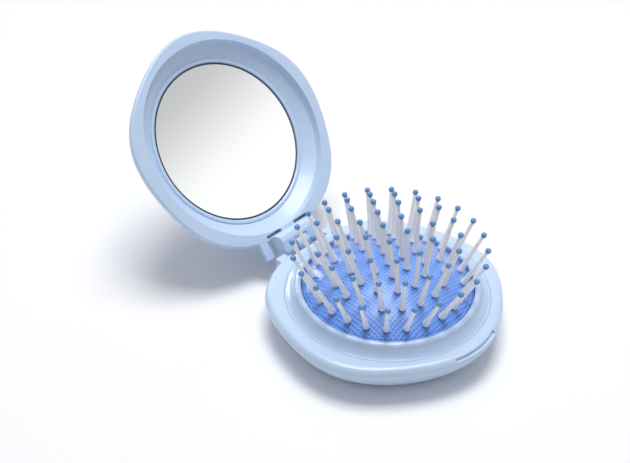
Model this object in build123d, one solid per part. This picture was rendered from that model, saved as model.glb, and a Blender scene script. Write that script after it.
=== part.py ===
from build123d import *
import os
from math import asin, cos, pi, radians, sin, sqrt

# A pocket hairbrush that folds shut like a compact, drawn open at its rest.
# A round base carries a rubber cushion with ball tipped pins, and a lid hinged
# behind it holds a mirror. Millimetres, +Z up, +Y towards the hinge. The origin
# is on the table, under the middle of the cushion.
# Rows of a profile are (radius, height, lobes): the share of the outline's
# lobes that the section at that height has.

# Outline from above: a soft five cornered round, flat at the hinge.
widest_r = 40.64
lobes = {1: 0.44, 2: -0.54, 3: -0.19, 5: -0.70, 6: 0.11, 7: 0.12}
outline_points = 72

# Base bowl
foot_r = widest_r - 10.14
foot_opening_r = foot_r - 2.5
widest_z = 11.4
rim_z = widest_z + 2.4
rim_round = 2.37
belly_power = 1.5
base_wall = 3.0
base_flange = 2.2
bezel_bore_r = widest_r - 5.44
rib_count = 8
rib_width = 1.8
rib_inner_r = bezel_bore_r - 3.8
rib_top_z = rim_z - 5.4
notch_half = 9.8
notch_depth = 1.4
notch_inset = 1.3

# Bezel round the cushion
seat_gap = 0.1
lip_r = bezel_bore_r - 5.7
lip_z = rim_z + 3.8
lip_edge_drop = 0.4
bead_r = lip_r + 1.1
bead_width = 0.85
bead_drop = 0.09
slope_top = (bead_r + 1.0, lip_z - 0.9)
slope_foot = (bezel_bore_r - 0.8, rim_z - 0.15)
slope_sag = 0.35
bezel_boss_r = bezel_bore_r - 1.9
hook_count = 6
hook_reach = 0.6
hook_width = 6.0
hook_height = 2.0

# Rubber cushion
lip_gap = 0.3
dome_r = 48.0
dome_apex_z = lip_z + 7.95
dome_wall_r = lip_r - lip_gap
membrane_t = 1.2
brim_r = bezel_boss_r - lip_gap
brim_top_z = rim_z - 0.8
clamp_inner_r = dome_wall_r - 0.5
shoulder_inset = 0.9
shoulder_drop = 1.4

# Pins: one in the middle and four rings round it
ring_count = 4
ring_step = (dome_wall_r - 4.16) / ring_count
pad_turn = -4.8
spread = 1.3
pin_length = 16.4
lean = (-1.59, 1.93)
ball_r = 1.025
root_r = 0.55
head_r = 1.0
head_t = 0.4
head_drop = 0.42
bulb_seat = 0.35
bulb_foot_r = 0.9
bulb_r = 1.25
shaft_mid_r = 0.8
shaft_end_r = 0.65
spigot_drop = 0.2
hole_clearance = 0.1
socket_r = 1.75
socket_bore_r = 0.85

# Lid, drawn closed and then opened
closed_gap = 0.2
lid_shift = -0.8
lid_flange = 1.8
lid_round = 0.74
lid_round_height = 0.8
crown_height = 13.2
cover_wall = 1.0
skirt_t = 1.0
skirt_gap = 0.3
skirt_height = 1.2
recess_r = widest_r - 4.19
recess_shift = -0.7
recess_depth = 5.7
step_depth = 3.0
step_draft = 0.35
step_fillet = 0.6
recess_wall = 1.0
floor_t = 0.9
mirror_r = recess_r - 7.31
mirror_t = 0.8
mirror_gap = 0.45
mirror_drop = 0.2
mirror_bead_r = mirror_r + 0.86
mirror_bead_width = 1.0
mirror_bead_height = 0.4
adhesive_t = 0.2
pocket_inner_r = mirror_r - 3.14
adhesive_inner_r = pocket_inner_r + 0.4
adhesive_margin = 0.5

# Hinge
hinge_y = widest_r + 2.4
hinge_z = rim_z - 2.15
open_angle = 131.6
hinge_pin_r = 1.0
pin_running_gap = 0.05
knuckle_half = 2.6
knuckle_r = 4.1
knuckle_gap = 0.25
cutout_r = 4.65
block_half = 8.5
block_r = 6.1
block_outer_r = 3.6
block_top = 2.9
block_side_wall = 1.2
sweep_gap = 0.3
backing_t = 1.4
tab_near = 10.0
tab_far = 13.3
tab_length = 6.76
tab_end_y = hinge_y + 0.76
shoulder_near = 9.4
shoulder_far = 13.6
shoulder_y = hinge_y - 2.34
shoulder_top_z = rim_z - 0.8
shoulder_height = 4.5
slot_shift = 1.15
slot_near = 3.2
slot_far = 10.2
slot_y = hinge_y - 7.24
slot_width = 1.1
slot_depth = 2.6

# The middle knuckle's arm and the lid's block, as (y, z) about the hinge axis,
# and the angles there at which the block's round back and barrel begin and end
arm_points = ((-1.2, -3.4), (3.9, -1.0), (3.2, -4.6), (0.6, -7.6), (-6.5, -9.25), (-9.0, -6.5))
arm_hollow = (216, 250)
block_corner = (-3.1, -4.3)
block_back = (157, 218)
barrel_end = 53.6

lid_rim_z = rim_z + closed_gap
lid_seam_z = lid_rim_z + lid_flange
lid_widest_z = lid_rim_z + lid_round_height
hinge_axis = Axis((0, hinge_y, hinge_z), (1, 0, 0))

# How far a cutting block reaches past what it cuts
beyond = 10.0


def lobe(angle):
    """How far the outline stands out of its mean radius, at an angle from +Y."""
    return sum(size * cos(order * angle) for order, size in lobes.items())


def section(radius, z, share):
    """The closed curve of the outline at one height."""
    points = []
    for i in range(outline_points):
        angle = 2 * pi * i / outline_points
        r = radius + share * lobe(angle)
        points.append(Vector(r * sin(angle), r * cos(angle), z))
    return Wire(Edge.make_spline(points, periodic=True))


def loft_rows(rows):
    return Solid.make_loft([section(*row) for row in rows])


def inset(rows, wall):
    """The rows moved square to the profile, into the shell, by its wall."""
    moved = []
    for i, (radius, z, share) in enumerate(rows):
        before = rows[max(i - 1, 0)]
        after = rows[min(i + 1, len(rows) - 1)]
        across, up = after[0] - before[0], after[1] - before[1]
        size = sqrt(across * across + up * up)
        moved.append((radius - wall * up / size, z + wall * across / size, share))
    return moved


def belly_rows():
    """The bowl from its foot to its widest height, a flattened quarter round."""
    rows = []
    for i in range(7):
        turn = radians(15 * i)
        share = sin(turn) ** belly_power
        radius = foot_r + (widest_r - foot_r) * share
        rows.append((radius, widest_z * (1 - cos(turn) ** belly_power), share))
    return rows


def edge_rows(rim, widest, round_r):
    """A quarter round edge, from the widest height to a flat rim above or below it."""
    rows = []
    for i in range(4):
        turn = radians(30 * i)
        radius = widest_r - round_r * (1 - cos(turn))
        rows.append((radius, widest + (rim - widest) * sin(turn), 1.0))
    return rows


def crown_rows():
    """The lid from its widest height to the top of its crown, a flattened dome."""
    rows = []
    for turn_degrees in (0, 11, 22, 33, 44, 54, 64, 73, 80, 85):
        turn = radians(turn_degrees)
        rows.append((widest_r * cos(turn), lid_widest_z + crown_height * sin(turn), cos(turn)))
    return rows


def turned(points, centre_y=0.0):
    """A closed outline of (radius, height) turned round a vertical axis."""
    face = make_face(Polyline([(r, z) for r, z in points], close=True))
    solid = revolve(Plane.XZ * face, Axis.Z)
    return Pos(0, centre_y, 0) * solid


def disc(radius, bottom, top, centre_y=0.0):
    return Pos(0, centre_y, (bottom + top) / 2) * Cylinder(radius, top - bottom)


def block(x0, x1, y0, y1, z0, z1):
    return Pos((x0 + x1) / 2, (y0 + y1) / 2, (z0 + z1) / 2) * Box(x1 - x0, y1 - y0, z1 - z0)


def slab(bottom, top):
    """Everything between two heights, wider than the lid."""
    half = widest_r + beyond
    return block(-half, half, -half, half, bottom, top)


def across_hinge(face, x0, x1):
    """A face drawn as (y, z) about the hinge axis, extruded from x0 to x1."""
    plane = Plane(origin=(x0, hinge_y, hinge_z), x_dir=(0, 1, 0), z_dir=(1, 0, 0))
    return extrude(plane * face, x1 - x0)


def hinge_rod(radius, x0, x1):
    return across_hinge(Circle(radius), x0, x1)


def on_circle(radius, angle):
    return (radius * cos(radians(angle)), radius * sin(radians(angle)))


def dome_height(radius):
    return dome_apex_z - dome_r + sqrt(dome_r * dome_r - radius * radius)


def opened(shape):
    return shape.rotate(hinge_axis, -open_angle)


def write(name, solids):
    pieces = solids if isinstance(solids, list) else [solids]
    shape = pieces[0] if len(pieces) == 1 else Compound(children=pieces)
    export_step(shape, f"parts/{name}.step")


# Base bowl
def make_base_shell():
    belly = belly_rows()
    body = loft_rows(belly + edge_rows(rim_z, widest_z, rim_round)[1:])
    cavity = inset(belly, base_wall)
    top_z = rim_z - base_flange
    cavity = [row for row in cavity if row[1] < top_z]
    cavity.append((widest_r - base_wall, top_z, 1.0))
    shell = body - loft_rows(cavity)
    shell -= disc(bezel_bore_r, rib_top_z, rim_z + 1)
    shell -= disc(foot_opening_r, -1, base_wall + 2)

    # Ribs that the bezel and the clamp ring stand on, and a backing behind the hinge
    middle = inset(belly, base_wall / 2)
    middle.append((widest_r - base_wall / 2, rim_z - base_flange / 2, 1.0))
    inside = loft_rows(middle)
    for i in range(rib_count):
        rib = block(rib_inner_r, widest_r, -rib_width / 2, rib_width / 2, 0, rib_top_z)
        rib = Rot(0, 0, 360 * (i + 0.5) / rib_count) * rib
        shell += rib & inside
    reach = block_half + knuckle_gap + backing_t
    backing = block(-reach, reach, bezel_bore_r - 1, widest_r, 0, rim_z - base_flange / 2)
    backing -= disc(bezel_bore_r + seat_gap, -1, rim_z)
    shell += backing & inside

    # Shoulders either side of the hinge, and the clearance that the lid's block turns in
    for side in (-1, 1):
        near, far = sorted((side * shoulder_near, side * shoulder_far))
        bottom_z = shoulder_top_z - shoulder_height
        shoulder = block(near, far, shoulder_y - 5, shoulder_y, bottom_z, shoulder_top_z)
        shoulder = fillet(shoulder.edges().group_by(Axis.Y)[-1], 0.6)
        shell += shoulder - disc(bezel_bore_r + 1, 0, rim_z)
    sweep = block_half + knuckle_gap
    shell -= hinge_rod(block_r + sweep_gap, -sweep, sweep)
    shell -= block(-sweep, sweep, hinge_y - block_r - sweep_gap, hinge_y + beyond, hinge_z, rim_z + beyond)

    # Middle knuckle, on an arm that hooks under the lid's block
    clear_r = block_r + sweep_gap
    start, end = arm_hollow
    arm = Polyline(on_circle(clear_r, end), *arm_points, on_circle(clear_r, start))
    hollow_middle = on_circle(clear_r, (start + end) / 2)
    hollow = ThreePointArc(on_circle(clear_r, start), hollow_middle, on_circle(clear_r, end))
    arm_face = make_face(arm.edges() + hollow.edges())
    knuckle = across_hinge(arm_face, -knuckle_half, knuckle_half)
    knuckle -= loft_rows(middle)
    knuckle += hinge_rod(knuckle_r, -knuckle_half, knuckle_half)
    shell += knuckle
    shell -= hinge_rod(hinge_pin_r, -knuckle_half - 1, knuckle_half + 1)

    # Finger notch in the rim, opposite the hinge
    floor_z = rim_z - notch_depth
    notch = block(-notch_half, notch_half, -widest_r - beyond, 0, floor_z, rim_z + 2)
    keep = [(widest_r - notch_inset, floor_z - 1, 1.0), (widest_r - notch_inset, rim_z + 3, 1.0)]
    notch -= loft_rows(keep)
    shell -= notch
    return shell


# Bezel
def make_bezel():
    outer_r = bezel_bore_r - seat_gap
    boss_z = brim_top_z + seat_gap
    middle_r = (slope_top[0] + slope_foot[0]) / 2
    middle_z = (slope_top[1] + slope_foot[1]) / 2
    sag = (middle_r - slope_sag, middle_z - slope_sag)
    lip_edge = (lip_r, lip_z - lip_edge_drop)
    bead_edge = (bead_r - bead_width, lip_z - bead_drop)
    outline = Polyline(
        slope_foot,
        (outer_r, rim_z),
        (outer_r, rib_top_z),
        (bezel_boss_r, rib_top_z),
        (bezel_boss_r, boss_z),
        (lip_r, boss_z),
        lip_edge,
    )
    bead = Spline(lip_edge, bead_edge, (bead_r, lip_z), slope_top)
    slope = ThreePointArc(slope_top, sag, slope_foot)
    ring = revolve(Plane.XZ * make_face(outline.edges() + bead.edges() + slope.edges()), Axis.Z)
    hook_top = rim_z - base_flange - seat_gap
    for i in range(hook_count):
        half = hook_width / 2
        hook = block(outer_r - 0.5, outer_r + hook_reach, -half, half, hook_top - hook_height, hook_top)
        lower_edge = hook.edges().filter_by(Axis.Y).group_by(Axis.X)[-1].group_by(Axis.Z)[0]
        hook = chamfer(lower_edge, hook_reach * 0.75)
        ring += Rot(0, 0, 360 * i / hook_count) * hook
    return ring


# Pins
def ring_angles(ring):
    return [pad_turn + 60.0 * i / ring for i in range(6 * ring)] if ring else [0.0]


def pin_plane(ring, angle):
    """A plane at a pin's foot on the dome, with its Z along the pin."""
    radius = ring * ring_step
    x, y = radius * cos(radians(angle)), radius * sin(radians(angle))
    lean_share = 1 - (ring / ring_count) ** 2
    dx = (spread - 1) * x + lean[0] * lean_share
    dy = (spread - 1) * y + lean[1] * lean_share
    dz = sqrt(pin_length**2 - dx * dx - dy * dy)
    return Plane(origin=(x, y, dome_height(radius)), z_dir=(dx, dy, dz))


def make_pin():
    """One pin along Z, its foot on the dome at the origin."""
    head_top = -membrane_t - head_drop
    shoulder = pin_length - sqrt(ball_r**2 - shaft_end_r**2)
    lower = Polyline(
        (shaft_end_r, shoulder),
        (root_r, shoulder),
        (root_r, pin_length - spigot_drop),
        (0, pin_length - spigot_drop),
        (0, head_top - head_t),
        (head_r, head_top - head_t),
        (head_r, head_top),
        (root_r, head_top),
        (root_r, bulb_seat),
        (bulb_foot_r, bulb_seat),
    )
    side = Spline(
        (bulb_foot_r, bulb_seat),
        (bulb_r, bulb_seat + 0.5),
        (bulb_r * 0.8, bulb_seat + 2.3),
        (shaft_mid_r, pin_length * 0.45),
        (shaft_end_r, shoulder),
    )
    return revolve(Plane.XZ * make_face(lower.edges() + side.edges()), Axis.Z)


def make_tip(pin):
    return Pos(0, 0, pin_length) * Sphere(ball_r) - pin


# Cushion
def make_membrane():
    inner_r = dome_r - membrane_t
    centre_z = dome_apex_z - dome_r
    edge_r = dome_wall_r - shoulder_inset
    edge_in_r = dome_wall_r - membrane_t
    under_r = edge_in_r - shoulder_inset
    under_z = centre_z + sqrt(inner_r**2 - under_r**2)
    mid = 0.5 * edge_r
    under_mid = 0.5 * under_r
    brim_bottom = brim_top_z - membrane_t
    top = ThreePointArc((0, dome_apex_z), (mid, dome_height(mid)), (edge_r, dome_height(edge_r)))
    edge_z = dome_height(edge_r)
    round_middle = (dome_wall_r - 0.22 * shoulder_inset, edge_z - 0.4 * shoulder_drop)
    round_top = Spline((edge_r, edge_z), round_middle, (dome_wall_r, edge_z - shoulder_drop))
    wall = Polyline(
        (dome_wall_r, edge_z - shoulder_drop),
        (dome_wall_r, brim_top_z),
        (brim_r, brim_top_z),
        (brim_r, brim_bottom),
        (edge_in_r, brim_bottom),
        (edge_in_r, under_z - 0.7 * shoulder_drop),
        (under_r, under_z),
    )
    under = ThreePointArc((under_r, under_z), (under_mid, centre_z + sqrt(inner_r**2 - under_mid**2)),
                          (0, centre_z + inner_r))
    axis = Line((0, centre_z + inner_r), (0, dome_apex_z))
    edges = top.edges() + round_top.edges() + wall.edges() + under.edges() + axis.edges()
    rubber = revolve(Plane.XZ * make_face(edges), Axis.Z)
    holes = []
    for ring in range(ring_count + 1):
        hole_r = socket_r + hole_clearance if ring == ring_count else root_r + hole_clearance
        for angle in ring_angles(ring):
            holes.append(pin_plane(ring, angle) * Cylinder(hole_r, 4 * membrane_t))
    return rubber - holes


def make_socket():
    """A rubber grommet round an outer pin's root, its top on the dome."""
    ring = Cylinder(socket_r, membrane_t) - Cylinder(socket_bore_r, 2 * membrane_t)
    return Pos(0, 0, -membrane_t / 2) * ring


def make_clamp_ring():
    top_z = brim_top_z - membrane_t
    outer_r = bezel_boss_r - seat_gap
    return disc(outer_r, rib_top_z, top_z) - disc(clamp_inner_r, rib_top_z - 1, top_z + 1)


# Lid
def make_lid_outer():
    edge = loft_rows(edge_rows(lid_rim_z, lid_widest_z, lid_round))
    return Pos(0, lid_shift, 0) * (edge + loft_rows(crown_rows()))


def block_face():
    """The lid's hinge block, round behind and in front, about the hinge axis."""
    start, end = block_back
    outline = Polyline(on_circle(block_r, end), block_corner, (0.0, -block_outer_r))
    barrel_middle = on_circle(block_outer_r, (barrel_end - 90) / 2)
    barrel = ThreePointArc((0.0, -block_outer_r), barrel_middle, on_circle(block_outer_r, barrel_end))
    flat_end = (-0.75 * block_r, block_top)
    top = Polyline(on_circle(block_outer_r, barrel_end), flat_end, on_circle(block_r, start))
    back_middle = on_circle(block_r, (start + end) / 2)
    back = ThreePointArc(on_circle(block_r, start), back_middle, on_circle(block_r, end))
    return make_face(outline.edges() + barrel.edges() + top.edges() + back.edges())


def make_lid_frame(outer):
    flange = outer & slab(lid_rim_z - 1, lid_seam_z)
    flange -= disc(recess_r + recess_wall / 2, lid_rim_z - 1, lid_seam_z + 1, recess_shift)
    floor_z = lid_rim_z + recess_depth
    front_z = floor_z + mirror_drop
    pocket_z = front_z + mirror_t + adhesive_t
    mirror_bore = mirror_r + mirror_gap
    step_z = lid_rim_z + step_depth
    foot = recess_r - step_draft
    tray = turned(
        [
            (recess_r, lid_rim_z),
            (foot, step_z - step_fillet),
            (foot - 0.3 * step_fillet, step_z - 0.2 * step_fillet),
            (foot - step_fillet, step_z + 0.2 * step_fillet),
            (mirror_bead_r + mirror_bead_width, floor_z),
            (mirror_bead_r + 0.9 * mirror_bead_width, floor_z - mirror_bead_height),
            (mirror_bead_r, floor_z - mirror_bead_height),
            (mirror_bore, floor_z - mirror_bead_height / 3),
            (mirror_bore, pocket_z),
            (pocket_inner_r, pocket_z),
            (pocket_inner_r, pocket_z + floor_t),
            (mirror_bore + floor_t, pocket_z + floor_t),
            (mirror_bore + floor_t, floor_z + floor_t),
            (foot - step_fillet, step_z + floor_t),
            (foot + recess_wall, step_z - step_fillet),
            (recess_r + recess_wall, lid_seam_z),
            (recess_r + recess_wall, lid_rim_z),
        ],
        recess_shift,
    )
    crown_turn = asin((lid_seam_z + skirt_height - lid_widest_z) / crown_height)
    skirt_r = widest_r * cos(crown_turn) - cover_wall - skirt_gap
    skirt_top = lid_seam_z + skirt_height
    skirt = loft_rows([(skirt_r, lid_seam_z - 0.5, 1.0), (skirt_r, skirt_top, 1.0)])
    skirt -= loft_rows([(skirt_r - skirt_t, lid_seam_z - 1, 1.0), (skirt_r - skirt_t, skirt_top + 1, 1.0)])
    frame = flange + tray + Pos(0, lid_shift, 0) * skirt

    # Hinge block below the rim, with a cut for the base's knuckle, and two tabs
    hinge_block = across_hinge(block_face(), -block_half, block_half)
    frame += hinge_block
    for side in (-1, 1):
        near, far = sorted((side * tab_near, side * tab_far))
        tab = block(near, far, tab_end_y - tab_length, tab_end_y, lid_rim_z, lid_seam_z)
        tab = fillet(tab.edges().filter_by(Axis.Z).group_by(Axis.Y)[-1], 0.4)
        frame += tab
    cut = knuckle_half + knuckle_gap
    frame -= hinge_rod(cutout_r, -cut, cut)
    frame -= block(-cut, cut, hinge_y, hinge_y + beyond, hinge_z - beyond, lid_seam_z)
    for side in (-1, 1):
        near, far = sorted((slot_shift + side * slot_near, slot_shift + side * slot_far))
        frame -= block(near, far, slot_y, slot_y + slot_width, lid_rim_z - 1, lid_rim_z + slot_depth)
    hole_r = hinge_pin_r + pin_running_gap
    frame -= hinge_rod(hole_r, -block_half + block_side_wall, block_half + 1)
    return frame


def make_lid_cover(outer):
    inner = (widest_r - cover_wall, lid_widest_z, 1.0)
    cavity = loft_rows([inner] + inset(crown_rows(), cover_wall)[1:])
    cover = outer & slab(lid_seam_z, lid_widest_z + crown_height + 1)
    return cover - Pos(0, lid_shift, 0) * cavity


def make_mirror():
    front_z = lid_rim_z + recess_depth + mirror_drop
    return disc(mirror_r, front_z, front_z + mirror_t, recess_shift)


def make_adhesive():
    bottom = lid_rim_z + recess_depth + mirror_drop + mirror_t
    ring = disc(mirror_r - adhesive_margin, bottom, bottom + adhesive_t, recess_shift)
    return ring - disc(adhesive_inner_r, bottom - 1, bottom + 2, recess_shift)


os.makedirs("parts", exist_ok=True)

write("base_shell", make_base_shell())
write("base_bezel", make_bezel())
write("cushion_membrane", make_membrane())
write("cushion_clamp_ring", make_clamp_ring())
write("hinge_pin", hinge_rod(hinge_pin_r, -block_half + block_side_wall + knuckle_gap, block_half))

lid_outer = make_lid_outer()
write("lid_frame", opened(make_lid_frame(lid_outer)))
write("lid_cover", opened(make_lid_cover(lid_outer)))
write("mirror", opened(make_mirror()))
write("mirror_adhesive", opened(make_adhesive()))

pin = make_pin()
tip = make_tip(pin)
write("pin_centre", pin_plane(0, 0) * pin)
write("tip_centre", pin_plane(0, 0) * tip)
for ring in range(1, ring_count):
    planes = [pin_plane(ring, angle) for angle in ring_angles(ring)]
    write(f"pins_ring_{ring}", [plane * pin for plane in planes])
    write(f"tips_ring_{ring}", [plane * tip for plane in planes])
outer_planes = [pin_plane(ring_count, angle) for angle in ring_angles(ring_count)]
write("outer_sockets", [plane * make_socket() for plane in outer_planes])
for number, plane in enumerate(outer_planes, 1):
    write(f"outer_pin_{number:02d}", [plane * pin, plane * tip])
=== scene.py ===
# %% [markdown]
# # A folding pocket hairbrush with a mirror in its lid
#
# The brush is a compact: a round base with a rubber cushion of ball tipped pins, and
# a lid with a mirror that folds over them. The solid parts come in from the CAD model
# as a frame, already in place. This lesson dresses them: it gives every part a finish
# that is worked out from the real material, and builds the soft cushion and the pins
# as surfaces computed with numpy.

import bpy
import numpy as np
from mathutils import Matrix, Vector


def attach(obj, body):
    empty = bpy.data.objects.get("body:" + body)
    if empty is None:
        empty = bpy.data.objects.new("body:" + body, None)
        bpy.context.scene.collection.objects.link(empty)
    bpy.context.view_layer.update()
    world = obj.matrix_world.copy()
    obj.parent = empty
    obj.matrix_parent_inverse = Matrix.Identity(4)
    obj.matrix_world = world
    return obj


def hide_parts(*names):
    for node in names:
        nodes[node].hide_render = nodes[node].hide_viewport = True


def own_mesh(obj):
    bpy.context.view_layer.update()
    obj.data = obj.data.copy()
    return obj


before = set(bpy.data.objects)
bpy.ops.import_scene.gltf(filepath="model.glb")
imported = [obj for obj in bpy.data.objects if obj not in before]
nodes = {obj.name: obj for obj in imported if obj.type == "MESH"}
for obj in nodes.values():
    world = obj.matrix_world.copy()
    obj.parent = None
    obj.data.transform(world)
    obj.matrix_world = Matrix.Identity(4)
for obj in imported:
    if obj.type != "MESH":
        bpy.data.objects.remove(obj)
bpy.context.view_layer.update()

# %% [markdown]
# ## Units and colours
#
# Blender works in metres and the drawing is in millimetres, so one factor turns one
# into the other. Colours are picked as the usual hex values of a screen. Cycles adds
# up light, so it needs them as linear amounts, and one function does that.

# %% Units and colours
MM = 0.001


def linear(hex_colour):
    """The sRGB curve undone: c / 12.92 near black, ((c + 0.055) / 1.055) ^ 2.4 above."""
    parts = np.array([int(hex_colour[i:i + 2], 16) for i in (1, 3, 5)]) / 255
    low = parts / 12.92
    high = ((parts + 0.055) / 1.055) ** 2.4
    return (*np.where(parts <= 0.04045, low, high).tolist(), 1.0)


WHITE = linear("#ffffff")
print("a mid blue, linear:", [round(v, 3) for v in linear("#578bc0")])

# %% [markdown]
# ## The camera
#
# The camera stands where the photo was taken from. Its place, its turn and its lens
# were fitted to points of the object that are easy to find in the photo: the foot and
# the ball of each pin, the hinge and the rims. A matrix of three directions says more
# about a camera than three angles, so the camera gets its matrix whole.

# %% Camera
SENSOR_WIDTH, FOCAL_LENGTH = 36.0, 72.94
NEAREST_SEEN = 0.01
CAMERA_PLACE = Vector((-257.65, -212.08, 294.41)) * MM
right = Vector((0.69418, -0.71978, 0.00546)).normalized()
back = Vector((-0.57342, -0.5484, 0.60864)).normalized()
above = back.cross(right).normalized()
right = above.cross(back)

camera_data = bpy.data.cameras.new("camera")
camera_data.sensor_width = SENSOR_WIDTH
camera_data.lens = FOCAL_LENGTH
camera_data.clip_start = NEAREST_SEEN
camera = bpy.data.objects.new("camera", camera_data)
bpy.context.scene.collection.objects.link(camera)
camera_matrix = Matrix((right, above, back)).transposed().to_4x4()
camera_matrix.translation = CAMERA_PLACE
camera.matrix_world = camera_matrix
bpy.context.scene.camera = camera
print("camera", round(CAMERA_PLACE.length, 3), "m from the middle of the foot ring")

# %% [markdown]
# ## Adding nodes
#
# A material is a small graph. One helper adds any node, sets its properties and feeds
# its sockets with either a value or another node's output, so that each finish below
# reads like a recipe. A socket is given by its name, with _ for a space, or as i and
# its number where several sockets share a name.


# %% One helper for nodes
def add(tree, kind, settings=None, **sockets):
    """Adds a node. settings are its properties, sockets its inputs by name or number."""
    node = tree.nodes.new(kind)
    for key, value in (settings or {}).items():
        setattr(node, key, value)
    for key, value in sockets.items():
        by_number = key[0] == "i" and key[1:].isdigit()
        socket = node.inputs[int(key[1:]) if by_number else key.replace("_", " ")]
        if isinstance(value, bpy.types.NodeSocket):
            tree.links.new(value, socket)
        else:
            socket.default_value = value
    return node


def new_material(name):
    """An empty material: its tree, its output node and Object coordinates in millimetres."""
    material = bpy.data.materials.new(name)
    material.use_nodes = True
    tree = material.node_tree
    tree.nodes.clear()
    output = tree.nodes.new("ShaderNodeOutputMaterial")
    place = add(tree, "ShaderNodeTexCoord").outputs["Object"]
    scaled = add(tree, "ShaderNodeVectorMath", {"operation": "SCALE"}, Vector=place, Scale=1 / MM)
    return material, tree, output, scaled.outputs["Vector"]


def finish_material(tree, output, **sockets):
    """Ends a material with the Principled shader, which stands for most real surfaces."""
    shader = add(tree, "ShaderNodeBsdfPrincipled", None, **sockets)
    tree.links.new(shader.outputs[0], output.inputs["Surface"])


COLOUR_MIX = {"data_type": "RGBA"}
print("node helpers ready")

# %% [markdown]
# ## Moulded plastic
#
# The shells are injection moulded ABS in a pastel blue. What tells the eye so is a
# broad soft highlight with a thinner one over it, a faint waviness where the plastic
# shrank as it cooled, and a fine grain. The waves are a few millimetres long and one or
# two hundredths of a millimetre deep, so they go into the bump and not into the mesh.

# %% Shell plastic
TONE_LENGTH = 17.0
GRAIN_DEPTH = 0.0015
SMOOTHER, ROUGHER = 0.03, 0.04
SHELL_GLOW = 0.6


def moulded_plastic(name, colour, deep, roughness, wave_mm, wave_depth, grain_mm, scatter):
    """ABS: two tones a few percent apart, mixed by slow noise, with shrink waves and a grain."""
    material, tree, output, place = new_material(name)
    slow = add(tree, "ShaderNodeTexNoise", None, Vector=place, Scale=1 / TONE_LENGTH, Detail=2.0)
    tint = add(tree, "ShaderNodeMix", COLOUR_MIX, i0=slow.outputs[0], i6=linear(colour), i7=linear(deep))
    waves = add(tree, "ShaderNodeTexNoise", None, Vector=place, Scale=1 / wave_mm, Detail=1.0)
    grain = add(tree, "ShaderNodeTexNoise", None, Vector=place, Scale=1 / grain_mm, Detail=2.0)
    swell = add(tree, "ShaderNodeBump", None, Strength=1.0, Distance=wave_depth * MM,
                Height=waves.outputs[0])
    fine = add(tree, "ShaderNodeBump", None, Strength=1.0, Distance=GRAIN_DEPTH * MM,
               Height=grain.outputs[0], Normal=swell.outputs[0])
    rough = add(tree, "ShaderNodeMapRange", None, Value=slow.outputs[0],
                To_Min=roughness - SMOOTHER, To_Max=roughness + ROUGHER)
    finish_material(tree, output, Base_Color=tint.outputs[2], Roughness=rough.outputs[0],
                    IOR=1.53, Subsurface_Weight=scatter, Subsurface_Scale=SHELL_GLOW * MM,
                    Coat_Weight=0.25, Coat_Roughness=0.12, Normal=fine.outputs[0])
    return material


shell_abs = moulded_plastic("moulded_abs_pastel_blue", "#c4d9f3", "#bfd5f1",
                            roughness=0.34, wave_mm=7.0, wave_depth=0.02, grain_mm=0.35, scatter=0.12)
bezel_abs = moulded_plastic("polished_abs_pastel_blue", "#bfd6f2", "#b9d1f0",
                            roughness=0.28, wave_mm=6.0, wave_depth=0.012, grain_mm=0.35, scatter=0.12)
hidden_abs = moulded_plastic("unpolished_abs_pastel_blue", "#b8cfec", "#b0c9e8",
                             roughness=0.5, wave_mm=7.0, wave_depth=0.02, grain_mm=0.3, scatter=0.1)
print("plastics:", shell_abs.name, bezel_abs.name, hidden_abs.name)

# %% [markdown]
# ## Nylon pins and their balls
#
# The pins are unpigmented nylon: milky, ivory where it is thick, and it passes some of
# the light from behind. The balls are a second shot of blue plastic, smooth and
# glossy, so each of them holds one small bright highlight.

# %% Pin and ball materials
MILK_LENGTH, MOULD_LINE_DEPTH, NYLON_GLOW = 2.5, 0.006, 1.4
CLOUD_LENGTH, BALL_SKIN_DEPTH, BALL_GLOW = 1.5, 0.004, 0.5

nylon, tree, output, place = new_material("natural_nylon_ivory")
milk = add(tree, "ShaderNodeTexNoise", None, Vector=place, Scale=1 / MILK_LENGTH, Detail=2.0)
tint = add(tree, "ShaderNodeMix", COLOUR_MIX, i0=milk.outputs[0], i6=linear("#fdfaf7"), i7=linear("#f6f3f2"))
mould_lines = add(tree, "ShaderNodeBump", None, Strength=1.0, Distance=MOULD_LINE_DEPTH * MM,
                  Height=milk.outputs[0])
finish_material(tree, output, Base_Color=tint.outputs[2], Roughness=0.3, IOR=1.53,
                Subsurface_Weight=0.8, Subsurface_Radius=(1.0, 0.95, 0.9), Subsurface_Scale=NYLON_GLOW * MM,
                Transmission_Weight=0.05, Normal=mould_lines.outputs[0])

ball_plastic, tree, output, place = new_material("glossy_polyamide_blue")
cloud = add(tree, "ShaderNodeTexNoise", None, Vector=place, Scale=1 / CLOUD_LENGTH, Detail=1.0)
tint = add(tree, "ShaderNodeMix", COLOUR_MIX, i0=cloud.outputs[0], i6=linear("#6a9fd6"), i7=linear("#5a90c9"))
skin = add(tree, "ShaderNodeBump", None, Strength=1.0, Distance=BALL_SKIN_DEPTH * MM,
           Height=cloud.outputs[0])
finish_material(tree, output, Base_Color=tint.outputs[2], Roughness=0.2, IOR=1.53,
                Subsurface_Weight=0.1, Subsurface_Scale=BALL_GLOW * MM, Normal=skin.outputs[0])
print("pins:", nylon.name, "balls:", ball_plastic.name)

# %% [markdown]
# ## Mirror, steel and tape
#
# A mirror is glass with silver behind it. Only the silver shows, so the material is a
# metal that is almost white and almost perfectly smooth. The hinge pin is drawn steel
# wire, with fine lines along it, and the tape behind the mirror is white foam.

# %% Mirror glass
RIPPLE_LENGTH, RIPPLE_DEPTH = 30.0, 0.002

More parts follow.
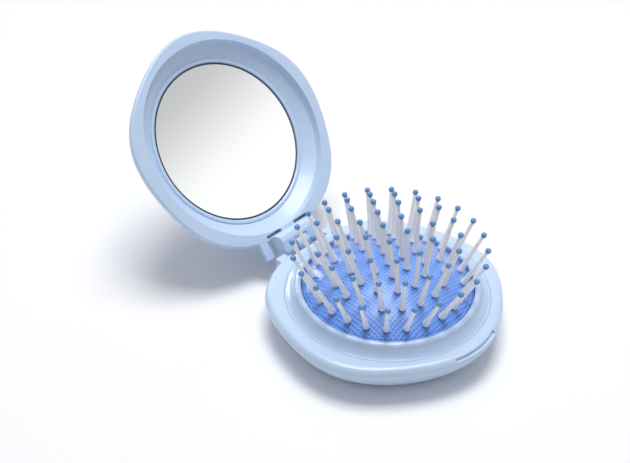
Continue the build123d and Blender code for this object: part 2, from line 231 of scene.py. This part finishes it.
silvered, tree, output, place = new_material("silvered_mirror_glass")
ripple = add(tree, "ShaderNodeTexNoise", None, Vector=place, Scale=1 / RIPPLE_LENGTH, Detail=0.0)
float_glass = add(tree, "ShaderNodeBump", None, Strength=1.0, Distance=RIPPLE_DEPTH * MM,
                  Height=ripple.outputs[0])
finish_material(tree, output, Base_Color=linear("#f4f6f6"), Metallic=1.0, Roughness=0.03,
                Normal=float_glass.outputs[0])
print("mirror:", silvered.name)

# %% Steel and tape
LINES_PER_MM, LINE_DEPTH = (0.2, 8.0, 8.0), 0.004
PORE_WIDTH, PORE_DEPTH = 0.3, 0.02

drawn_steel, tree, output, place = new_material("drawn_steel_wire")
along = add(tree, "ShaderNodeMapping", None, Vector=place, Scale=LINES_PER_MM)
lines = add(tree, "ShaderNodeTexNoise", None, Vector=along.outputs[0], Scale=1.0, Detail=3.0)
drawn = add(tree, "ShaderNodeBump", None, Strength=1.0, Distance=LINE_DEPTH * MM, Height=lines.outputs[0])
finish_material(tree, output, Base_Color=linear("#c9cacc"), Metallic=1.0, Roughness=0.32,
                Normal=drawn.outputs[0])

foam_tape, tree, output, place = new_material("white_foam_tape")
cells = add(tree, "ShaderNodeTexVoronoi", None, Vector=place, Scale=1 / PORE_WIDTH)
pores = add(tree, "ShaderNodeBump", None, Strength=1.0, Distance=PORE_DEPTH * MM, Height=cells.outputs[0])
finish_material(tree, output, Base_Color=linear("#eeeeea"), Roughness=0.8, Normal=pores.outputs[0])
print("steel:", drawn_steel.name, "tape:", foam_tape.name)

# %% [markdown]
# ## Woven rubber
#
# The cushion's skin is rubber with cloth pressed into it. One set of threads runs along
# the hinge and the other across it, 1.22 mm apart, with small dark squares between
# them. Two sets of stripes, one along each thread direction, give the pattern: the
# threads are light and raised, the squares between them darker and sunk.

# %% Cushion material
THREAD_STEP, THREAD_NARROWNESS = 1.22, 2.2
FIBRE_LENGTH, WEAVE_DEPTH = 0.45, 0.12
FAINTEST_THREAD, STRONGEST_THREAD = 0.45, 1.15


def ridges(tree, place, direction):
    """Smooth stripes 0 to 1 across a direction: (0.5 + 0.5 cos(2 pi d / step)) to a power."""
    across = add(tree, "ShaderNodeVectorMath", {"operation": "DOT_PRODUCT"}, i0=place, i1=direction)
    phase = add(tree, "ShaderNodeMath", {"operation": "MULTIPLY"}, i0=across.outputs["Value"],
                i1=2 * np.pi / THREAD_STEP)
    wave = add(tree, "ShaderNodeMath", {"operation": "COSINE"}, i0=phase.outputs[0])
    lifted = add(tree, "ShaderNodeMath", {"operation": "MULTIPLY_ADD"}, i0=wave.outputs[0], i1=0.5, i2=0.5)
    narrowed = add(tree, "ShaderNodeMath", {"operation": "POWER"}, i0=lifted.outputs[0],
                   i1=THREAD_NARROWNESS)
    return narrowed.outputs[0]


woven_rubber, tree, output, place = new_material("woven_rubber_blue")
threads = add(tree, "ShaderNodeMath", {"operation": "MAXIMUM"},
              i0=ridges(tree, place, (1, 0, 0)), i1=ridges(tree, place, (0, 1, 0)))
fibre = add(tree, "ShaderNodeTexNoise", None, Vector=place, Scale=1 / FIBRE_LENGTH, Detail=2.0)
strength = add(tree, "ShaderNodeMapRange", None, Value=fibre.outputs[0],
               To_Min=FAINTEST_THREAD, To_Max=STRONGEST_THREAD)
uneven = add(tree, "ShaderNodeMath", {"operation": "MULTIPLY"}, i0=threads.outputs[0],
             i1=strength.outputs[0])
cloth = add(tree, "ShaderNodeMix", COLOUR_MIX, i0=uneven.outputs[0],
            i6=linear("#3e7bdc"), i7=linear("#7bafff"))
weave = add(tree, "ShaderNodeBump", None, Strength=1.0, Distance=WEAVE_DEPTH * MM, Height=uneven.outputs[0])
finish_material(tree, output, Base_Color=cloth.outputs[2], Roughness=0.42, IOR=1.5,
                Sheen_Weight=0.9, Sheen_Roughness=0.35,
                Coat_Weight=1.0, Coat_Roughness=0.35, Normal=weave.outputs[0])
print("threads every", THREAD_STEP, "mm")

# %% [markdown]
# ## Finishes on the CAD parts
#
# The parts that CAD made keep their meshes as they are. Each gets the one material
# that its real piece is made of. The pins and the cushion get new meshes further on.

# %% Put the finishes on the CAD parts
finishes = {
    "base_shell": shell_abs,
    "base_bezel": bezel_abs,
    "cushion_clamp_ring": hidden_abs,
    "hinge_pin": drawn_steel,
    "lid_frame": shell_abs,
    "lid_cover": shell_abs,
    "mirror": silvered,
    "mirror_adhesive": foam_tape,
}
for name, material in finishes.items():
    mesh = nodes[name].data
    mesh.materials.clear()
    mesh.materials.append(material)
    print(name, "has", len(mesh.polygons), "faces,", material.name)

# %% [markdown]
# ## Turning numbers into a mesh
#
# Each new piece is a grid of points: rows along the shape and columns round it. The
# whole grid is one array, worked out in one go, and one function joins neighbouring
# points with faces. Where the shape closes on itself the last column joins the first,
# and a point at the end of a row closes a pole.


# %% Surfaces from arrays
def lathe(profile, columns):
    """A profile of (radius, height) turned round Z: x = r cos a, y = r sin a."""
    angle = np.linspace(0, 2 * np.pi, columns, endpoint=False)
    r, z = profile[:, :1], profile[:, 1:]
    return np.stack([r * np.cos(angle), r * np.sin(angle), z + 0 * angle], -1)


def grid_faces(rows, columns, start):
    """Quads of a grid closed round its columns: (i, j), (i, j + 1), (i + 1, j + 1), (i + 1, j)."""
    i, j = np.meshgrid(np.arange(rows - 1), np.arange(columns), indexing="ij")
    after = (j + 1) % columns
    here, below = i * columns, (i + 1) * columns
    quads = np.stack([here + j, here + after, below + after, below + j], -1)
    return start + quads.reshape(-1, 4)


def mesh_object(name, points, faces, material):
    """A smooth object from points in mm, in the scene and at the origin."""
    mesh = bpy.data.meshes.new(name)
    mesh.from_pydata((points * MM).tolist(), [], faces)
    mesh.polygons.foreach_set("use_smooth", np.ones(len(mesh.polygons), bool))
    mesh.materials.append(material)
    mesh.update()
    piece = bpy.data.objects.new(name, mesh)
    bpy.context.scene.collection.objects.link(piece)
    return piece


def object_from_grids(name, grids, material):
    """One mesh of several grids (rows, columns, 3), each closed at both ends by a fan to its middle."""
    points, faces, start = [], [], 0
    for grid in grids:
        rows, columns = grid.shape[:2]
        poles = grid[[0, -1]].mean(axis=1)
        points.append(np.concatenate([grid.reshape(-1, 3), poles]))
        faces += grid_faces(rows, columns, start).tolist()
        ring = np.arange(columns)
        after = np.roll(ring, -1)
        first_pole = start + rows * columns
        last_pole = first_pole + 1
        last_row = first_pole - columns
        first_fan = [np.full(columns, first_pole), start + after, start + ring]
        last_fan = [np.full(columns, last_pole), last_row + ring, last_row + after]
        faces += np.stack(first_fan, -1).tolist()
        faces += np.stack(last_fan, -1).tolist()
        start = last_pole + 1
    return mesh_object(name, np.concatenate(points), faces, material)


def ring_object(name, grid, material):
    """A grid that closes both ways, such as a ring: its last row is its first, so it has no ends."""
    rows, columns = grid.shape[0] - 1, grid.shape[1]
    i, j = np.meshgrid(np.arange(rows), np.arange(columns), indexing="ij")
    here, below = i * columns, (i + 1) % rows * columns
    after = (j + 1) % columns
    quads = np.stack([here + j, below + j, below + after, here + after], -1)
    return mesh_object(name, grid[:-1].reshape(-1, 3), quads.reshape(-1, 4).tolist(), material)


print("mesh helpers ready")

# %% [markdown]
# ## Where the pins stand
#
# Sixty one pins stand on the dome of the cushion: one in the middle and four rings of
# 6, 12, 18 and 24. They spread like the seeds of a dandelion, so a ball is 1.3 times as
# far from the middle as its foot. The inner ones also lean a little to one side.

# %% The pins' places
DOME_R, DOME_APEX = 48.0, 25.55
RING_STEP, OUTER_RING = 6.26, 4
PAD_TURN = np.radians(-4.8)
SPREAD, PIN_LENGTH = 1.3, 16.4
LEAN = np.array([-1.59, 1.93])


def dome_height(radius):
    """The height of the dome's skin: a sphere's cap, apex - R + sqrt(R^2 - r^2)."""
    return DOME_APEX - DOME_R + np.sqrt(DOME_R**2 - radius**2)


def ring_places(ring):
    """Foot points and unit directions of one ring's pins, as two arrays of (count, 3)."""
    count = max(6 * ring, 1)
    angle = PAD_TURN + 2 * np.pi * np.arange(count) / count
    radius = ring * RING_STEP
    height = np.full(count, dome_height(radius))
    foot = np.stack([radius * np.cos(angle), radius * np.sin(angle), height], -1)
    across = (SPREAD - 1) * foot[:, :2] + LEAN * (1 - (ring / OUTER_RING) ** 2)
    up = np.sqrt(PIN_LENGTH**2 - (across**2).sum(axis=1))
    return foot, np.column_stack([across, up]) / PIN_LENGTH


def stand(grid, foot, direction):
    """Tips a grid that was made along Z into a direction and sets it on its foot."""
    side = np.cross([0.0, 1.0, 0.0], direction)
    side /= np.linalg.norm(side)
    axes = np.stack([side, np.cross(direction, side), direction])
    return grid @ axes + foot


feet = np.concatenate([ring_places(ring)[0] for ring in range(OUTER_RING + 1)])
print("pins:", len(feet))

# %% [markdown]
# ## The pins and balls
#
# A pin is a turned shape. Its foot is a bulb that swells out of the skin and dies away
# up the shaft, which is the sum of two falling curves. Under the skin a thin neck ends
# in a flat head that keeps the pin from pulling out. The ball is a sphere whose centre
# is the pin's end.

# %% Profiles
HEAD_R = [0.96, 1.0, 1.0, 0.96, 0.55, 0.55]
HEAD_Z = [-2.02, -1.98, -1.66, -1.62, -1.62, 0.33]
SHAFT_R, TAPER_R, FLARE_R, TAPER_LENGTH = 0.62, 0.5, 0.13, 5.0
BULB_Z, BULB_START_R, BULB_SWELL, BULB_DEPTH = 0.85, 0.85, 0.4, 0.5
FOOT_HEIGHTS = np.linspace(0.95, 3.5, 9)
SHAFT_HEIGHTS = np.linspace(4.2, 15.7, 10)
BALL_R = 1.025
PIN_COLUMNS, BALL_COLUMNS, BALL_ROWS = 20, 28, 19


def pin_profile():
    """Head, neck and bulb, then shaft + taper exp(-d / length) + flare exp(-d^2), d from the bulb."""
    swell = np.linspace(0, np.pi / 2, 6)
    bulb_r = BULB_START_R + BULB_SWELL * np.sin(swell)
    bulb_z = BULB_Z - BULB_DEPTH * np.cos(swell)
    z = np.concatenate([FOOT_HEIGHTS, SHAFT_HEIGHTS])
    d = z - BULB_Z
    r = SHAFT_R + TAPER_R * np.exp(-d / TAPER_LENGTH) + FLARE_R * np.exp(-(d**2))
    return np.column_stack([np.concatenate([HEAD_R, bulb_r, r]), np.concatenate([HEAD_Z, bulb_z, z])])


def ball_profile():
    """A half circle without its poles, which the fans close: r = R sin t, z = length - R cos t."""
    t = np.linspace(0, np.pi, BALL_ROWS)[1:-1]
    return np.column_stack([BALL_R * np.sin(t), PIN_LENGTH - BALL_R * np.cos(t)])


pin_grid = lathe(pin_profile(), PIN_COLUMNS)
ball_grid = lathe(ball_profile(), BALL_COLUMNS)
print("rows of a pin:", len(pin_grid), "rows of a ball:", len(ball_grid))

# %% The middle pin and the inner rings
for ring in range(OUTER_RING):
    foot, direction = ring_places(ring)
    body = "centre_pin" if ring == 0 else f"pin_ring_{ring}"
    suffix = "centre" if ring == 0 else f"ring_{ring}"
    for kind, grid, material, slot in (
        ("pin", pin_grid, nylon, "pin_plastic"),
        ("tip", ball_grid, ball_plastic, "ball_plastic"),
    ):
        grids = [stand(grid, p, d) for p, d in zip(foot, direction)]
        piece = object_from_grids(f"{kind}_{suffix}_turned", grids, material)
        node = f"{kind}_centre" if ring == 0 else f"{kind}s_ring_{ring}"
        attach(piece, body)
        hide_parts(node)
        print(piece.name, "stands for", node)

# %% The outer ring
foot, direction = ring_places(OUTER_RING)
for number, (p, d) in enumerate(zip(foot, direction), 1):
    node = f"outer_pin_{number:02d}"
    shaft = object_from_grids(f"outer_shaft_{number:02d}", [stand(pin_grid, p, d)], nylon)
    ball = object_from_grids(f"outer_ball_{number:02d}", [stand(ball_grid, p, d)], ball_plastic)
    for piece, slot in ((shaft, "pin_plastic"), (ball, "ball_plastic")):
        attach(piece, node + "_body")
        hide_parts(node)
print("outer pins:", len(foot))

# %% [markdown]
# ## The cushion
#
# The cushion is a skin of rubber 1.2 mm thick, held at its brim and blown up into a
# dome by the air under it. It is turned from a profile as the pins are, with a fine
# mesh. Round every pin the skin dips a little, where the pin's head pulls it down, so
# each point is lowered by how near the nearest pin is. When the lid shuts, the dome
# sinks flat into the base with the pins, and its brim stays where it is. So the dome
# and the brim are made as two pieces.

# %% Cushion dome
SKIN = 1.2
SPLIT_R, SPLIT_GAP = 28.0, 0.05
POLE_R = 0.25
DIMPLE_DEPTH, DIMPLE_WIDTH = 0.22, 1.9
DOME_ROWS, UNDER_ROWS, CUSHION_COLUMNS = 110, 50, 256


def dimple(x, y):
    """How far the skin is pulled down: the full depth at a pin, fading as exp(-(d / width)^2)."""
    d2 = (x[..., None] - feet[:, 0]) ** 2 + (y[..., None] - feet[:, 1]) ** 2
    return DIMPLE_DEPTH * np.exp(-d2.min(axis=-1) / DIMPLE_WIDTH**2)


dome_edge = SPLIT_R - SPLIT_GAP
radius = np.linspace(POLE_R, dome_edge, DOME_ROWS)
top = lathe(np.column_stack([radius, dome_height(radius)]), CUSHION_COLUMNS)
top[..., 2] -= dimple(top[..., 0], top[..., 1])
under_radius = np.linspace(dome_edge, POLE_R, UNDER_ROWS)
under_height = DOME_APEX - DOME_R + np.sqrt((DOME_R - SKIN) ** 2 - under_radius**2)
under = lathe(np.column_stack([under_radius, under_height]), CUSHION_COLUMNS)
dome_grid = np.concatenate([top, under])
dome = object_from_grids("cushion_dome", [dome_grid[::-1]], woven_rubber)
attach(dome, "base")
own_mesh(dome)
print("dome faces:", len(dome.data.polygons))

# %% Cushion brim
EDGE_R, WALL_R, BRIM_R, BRIM_TOP = 28.3, 29.2, 33.0, 13.0
SHOULDER_DEPTH = 1.4
split_top = dome_height(SPLIT_R)
shoulder = np.linspace(0, np.pi / 2, 7)
shoulder_r = EDGE_R + (WALL_R - EDGE_R) * np.sin(shoulder)
shoulder_z = dome_height(EDGE_R) - SHOULDER_DEPTH * (1 - np.cos(shoulder))
walls = [
    (WALL_R, BRIM_TOP), (BRIM_R, BRIM_TOP), (BRIM_R, BRIM_TOP - SKIN),
    (SPLIT_R, BRIM_TOP - SKIN), (SPLIT_R, split_top - SKIN), (SPLIT_R, split_top),
]
loop = np.concatenate([np.column_stack([shoulder_r, shoulder_z]), walls])
brim_grid = lathe(np.concatenate([loop, loop[:1]]), CUSHION_COLUMNS)
brim = ring_object("cushion_brim", brim_grid, woven_rubber)
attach(brim, "base")
for piece in (dome, brim):
    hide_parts("cushion_membrane")
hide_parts("outer_sockets")
print("brim faces:", len(brim.data.polygons))

# %% [markdown]
# ## The dark ring round the mirror
#
# A dark ring, 0.3 mm wide, is painted round the mirror's edge. It is painted shade that
# stands for the shaded gap between the mirror and the lid. The ring is turned where the lid
# would be when shut, and then swung open about the hinge like the rest of the lid:
# y' = y cos a + z sin a and z' = -y sin a + z cos a, both from the hinge's axis.

# %% Painted shade round the mirror
OPEN_ANGLE = np.radians(131.6)
HINGE_Y, HINGE_Z = 43.04, 11.65
MIRROR_R, MIRROR_FRONT, MIRROR_SHIFT = 29.14, 19.9, -0.7
SHADE_RING_WIDTH, SHADE_RING_DEPTH, SHADE_RING_T = 0.3, 0.75, 0.05
SHADE_RING_OVER = 0.02
EDGE_COLUMNS = 160
SHADE_RING_NOISE_WIDTH, SHADE_RING_BUMP_DEPTH = 0.4, 0.01


def swung_open(points):
    """Points of the shut lid turned about the hinge pin by the opening angle."""
    y, z = points[..., 1] - HINGE_Y, points[..., 2] - HINGE_Z
    turned_y = y * np.cos(OPEN_ANGLE) + z * np.sin(OPEN_ANGLE)
    turned_z = z * np.cos(OPEN_ANGLE) - y * np.sin(OPEN_ANGLE)
    return np.stack([points[..., 0], turned_y + HINGE_Y, turned_z + HINGE_Z], -1)


# Painted shade: a dark colour round the mirror's edge stands for the shade in the gap there.
painted_shade_ring, tree, output, place = new_material("painted_shade_mirror_edge")
shade_ring_noise = add(tree, "ShaderNodeTexNoise", None, Vector=place, Scale=1 / SHADE_RING_NOISE_WIDTH, Detail=2.0)
shade_ring_bump = add(tree, "ShaderNodeBump", None, Strength=1.0, Distance=SHADE_RING_BUMP_DEPTH * MM,
              Height=shade_ring_noise.outputs[0])
finish_material(tree, output, Base_Color=linear("#2c3e50"), Roughness=0.5, Normal=shade_ring_bump.outputs[0])
inner_r, outer_r = MIRROR_R - SHADE_RING_WIDTH, MIRROR_R + SHADE_RING_T
side_r, buried, far_side = MIRROR_R - SHADE_RING_T, MIRROR_FRONT + SHADE_RING_T, MIRROR_FRONT + SHADE_RING_DEPTH
edge_profile = np.array([
    (inner_r, buried), (inner_r, MIRROR_FRONT - SHADE_RING_OVER),
    (MIRROR_R + SHADE_RING_OVER, MIRROR_FRONT - SHADE_RING_OVER), (outer_r, MIRROR_FRONT + SHADE_RING_OVER),
    (outer_r, far_side), (side_r, far_side),
    (side_r, buried), (inner_r, buried),
])
edge_grid = lathe(edge_profile, EDGE_COLUMNS)
edge_grid[..., 1] += MIRROR_SHIFT
mirror_edge = ring_object("painted_shade_mirror_ring", swung_open(edge_grid), painted_shade_ring)
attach(mirror_edge, "lid")
print("lacquer faces:", len(mirror_edge.data.polygons))

# %% [markdown]
# ## The table
#
# The photo shows the brush on plain white, so the table is a wide plane with a white,
# slightly uneven paint. It is staging and no part of the brush.

# %% Table
TABLE_HALF = 3.0
SPECK_LENGTH = 40.0
table_mesh = bpy.data.meshes.new("table")
corners = [(x * TABLE_HALF, y * TABLE_HALF, 0) for x, y in ((-1, -1), (1, -1), (1, 1), (-1, 1))]
table_mesh.from_pydata(corners, [], [(0, 1, 2, 3)])
table = bpy.data.objects.new("table", table_mesh)
bpy.context.scene.collection.objects.link(table)
white_board, tree, output, place = new_material("white_painted_board")
speck = add(tree, "ShaderNodeTexNoise", None, Vector=place, Scale=1 / SPECK_LENGTH, Detail=3.0)
tint = add(tree, "ShaderNodeMix", COLOUR_MIX, i0=speck.outputs[0], i6=linear("#fdfdfe"), i7=linear("#fbfbfd"))
finish_material(tree, output, Base_Color=tint.outputs[2], Roughness=0.7, Specular_IOR_Level=0.1)
table_mesh.materials.append(white_board)
print("table", 2 * TABLE_HALF, "m wide")

# %% [markdown]
# ## What the mirror and the gloss reflect
#
# In the photo the mirror goes from grey to white, so rays that come off a gloss see a
# ramp of grey along one direction of the room. That direction was chosen for this one
# camera and is worked out from it and the mirror: r = d - 2 (d . n) n for a ray d that
# meets a mirror with the normal n. The ramp stays put when the camera moves. A brighter
# panel stands behind the brush, where whatever lies flat reflects it to the camera, and
# gives the cushion its glare.

# %% The ramp and the panel
MIRROR_MIDDLE = np.array([0.0, 78.6, 38.5]) * MM
RAMP_BEFORE, RAMP_BEYOND = 0.065, 0.03
GREY_DARK, GREY_LIGHT = 0.6, 1.12
PANEL_EDGE, PANEL_FULL, PANEL_STRENGTH = 0.58, 0.98, 0.9
SMOOTH_STEP = {"interpolation_type": "SMOOTHSTEP"}
mirror_normal = np.array([0.0, -np.sin(OPEN_ANGLE), -np.cos(OPEN_ANGLE)])


def reflected(ray):
    """The direction in which the mirror sends a ray on: r = d - 2 (d . n) n."""
    return ray - 2 * (ray @ mirror_normal) * mirror_normal


to_mirror = MIRROR_MIDDLE - np.array(CAMERA_PLACE)
to_mirror /= np.linalg.norm(to_mirror)
across_view = (np.array(right) - np.array(above)) / np.sqrt(2)
ramp_along = reflected(across_view)
ramp_middle = float(reflected(to_mirror) @ ramp_along)

world = bpy.data.worlds.new("studio")
bpy.context.scene.world = world
world.use_nodes = True
tree = world.node_tree
tree.nodes.clear()
sky = add(tree, "ShaderNodeTexCoord").outputs["Generated"]
on_ramp = add(tree, "ShaderNodeVectorMath", {"operation": "DOT_PRODUCT"}, i0=sky, i1=ramp_along.tolist())
grey = add(tree, "ShaderNodeMapRange", SMOOTH_STEP, Value=on_ramp.outputs["Value"],
           From_Min=ramp_middle - RAMP_BEFORE, From_Max=ramp_middle + RAMP_BEYOND,
           To_Min=GREY_DARK, To_Max=GREY_LIGHT)
towards_panel = add(tree, "ShaderNodeVectorMath", {"operation": "DOT_PRODUCT"}, i0=sky,
                    i1=(-back.x, -back.y, back.z))
panel = add(tree, "ShaderNodeMapRange", SMOOTH_STEP, Value=towards_panel.outputs["Value"],
            From_Min=PANEL_EDGE, From_Max=PANEL_FULL, To_Min=0.0, To_Max=PANEL_STRENGTH)
shine = add(tree, "ShaderNodeMath", {"operation": "ADD"}, i0=grey.outputs[0], i1=panel.outputs[0])
wall = add(tree, "ShaderNodeBackground", None, Color=WHITE, Strength=shine.outputs[0])
print("the ramp's middle lies at", round(ramp_middle, 3))

# %% [markdown]
# ## The room
#
# The room lights the brush from all round, dimly from below and more from above. What
# the camera sees of it is plain white. So three rooms are mixed by the kind of ray: one
# for the gloss, one for the light, and one for what is seen.

# %% Room
ROOM_LOW, ROOM_HIGH = 0.22, 0.5
look = add(tree, "ShaderNodeLightPath")
upward = add(tree, "ShaderNodeSeparateXYZ", None, Vector=sky)
overhead = add(tree, "ShaderNodeMapRange", None, Value=upward.outputs["Z"], To_Min=ROOM_LOW, To_Max=ROOM_HIGH)
soft_light = add(tree, "ShaderNodeBackground", None, Color=linear("#fbfcff"), Strength=overhead.outputs[0])
room = add(tree, "ShaderNodeMixShader", None, i0=look.outputs["Is Glossy Ray"],
           i1=soft_light.outputs[0], i2=wall.outputs[0])
seen = add(tree, "ShaderNodeBackground", None, Color=WHITE, Strength=1.0)
straight = add(tree, "ShaderNodeMath", {"operation": "MAXIMUM"}, i0=look.outputs["Is Camera Ray"],
               i1=look.outputs["Is Transmission Ray"])
mixed = add(tree, "ShaderNodeMixShader", None, i0=straight.outputs[0], i1=room.outputs[0], i2=seen.outputs[0])
world_output = tree.nodes.new("ShaderNodeOutputWorld")
tree.links.new(mixed.outputs[0], world_output.inputs["Surface"])
print("room nodes:", len(tree.nodes))

# %% [markdown]
# ## The lamp
#
# One big soft lamp hangs over the brush, a little behind it as the camera sees it, so
# the shadow falls under the base towards the viewer.

# %% Lamp
LAMP_PLACE, LAMP_TARGET = Vector((0.16, 0.13, 1.1)), Vector((0, 0.03, 0.02))
LAMP_SIZE, LAMP_WATTS = 0.55, 8.6
lamp_data = bpy.data.lights.new("lamp_above", "AREA")
lamp_data.shape = "SQUARE"
lamp_data.size = LAMP_SIZE
lamp_data.energy = LAMP_WATTS
lamp = bpy.data.objects.new("lamp_above", lamp_data)
lamp.location = LAMP_PLACE
lamp.rotation_euler = (LAMP_TARGET - LAMP_PLACE).to_track_quat("-Z", "Y").to_euler()
bpy.context.scene.collection.objects.link(lamp)
bpy.context.scene.view_settings.view_transform = "Standard"
print("lamp:", lamp.name, LAMP_WATTS, "W")
